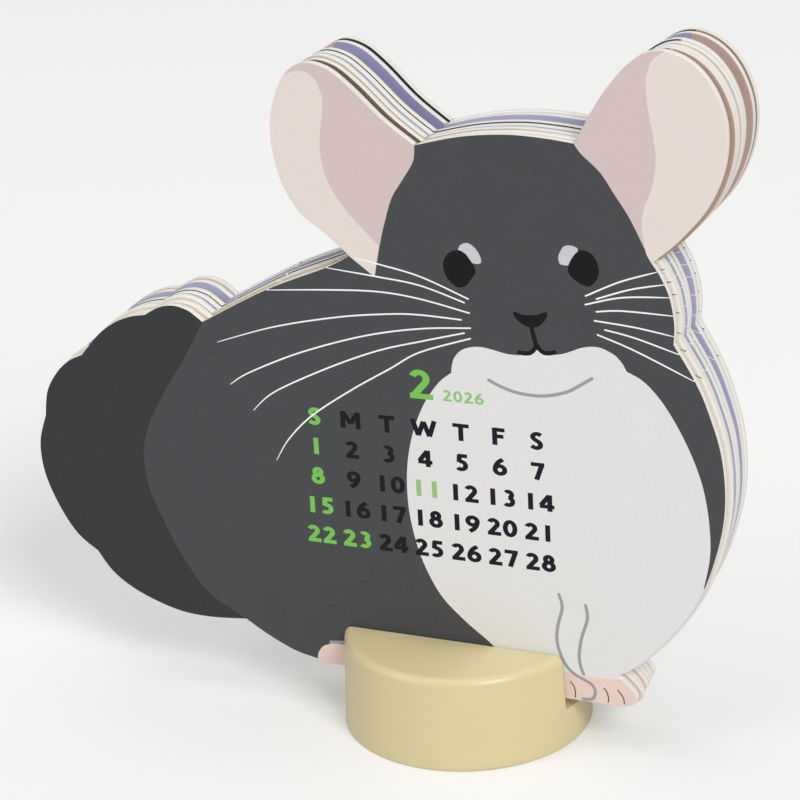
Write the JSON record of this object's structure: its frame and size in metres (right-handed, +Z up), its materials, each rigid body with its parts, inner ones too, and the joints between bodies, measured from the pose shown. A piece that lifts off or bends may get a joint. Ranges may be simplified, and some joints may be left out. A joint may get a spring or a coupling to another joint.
{
  "type": "desk calendar",
  "caption": "Desk calendar of thick die-cut month cards in the outline of a sitting animal, standing in a slotted round base.",
  "frame": {"origin": "middle of the base's flat underside", "axes": "+Z up, +X along the card faces towards the figure's right-hand edge as seen from the front, -Y the front"},
  "size_m": [0.1482, 0.05, 0.1414],
  "materials": {
    "base": "satin moulded plastic",
    "card_front": "matte printed, fine grain",
    "card_beige": "matte printed, fine grain",
    "card_olive": "matte printed, fine grain",
    "card_blue_grey": "matte printed, fine grain",
    "card_black": "matte printed, fine grain",
    "card_violet": "matte printed, fine grain",
    "card_pale": "matte printed, fine grain"
  },
  "bodies": {
    "root": {"base": "base", "front_card": "card_front", "second_card": "card_beige", "third_card": "card_olive", "fourth_card": "card_blue_grey", "fifth_card": "card_black", "sixth_card": "card_violet", "back_card": "card_pale"}
  },
  "joints": []
}
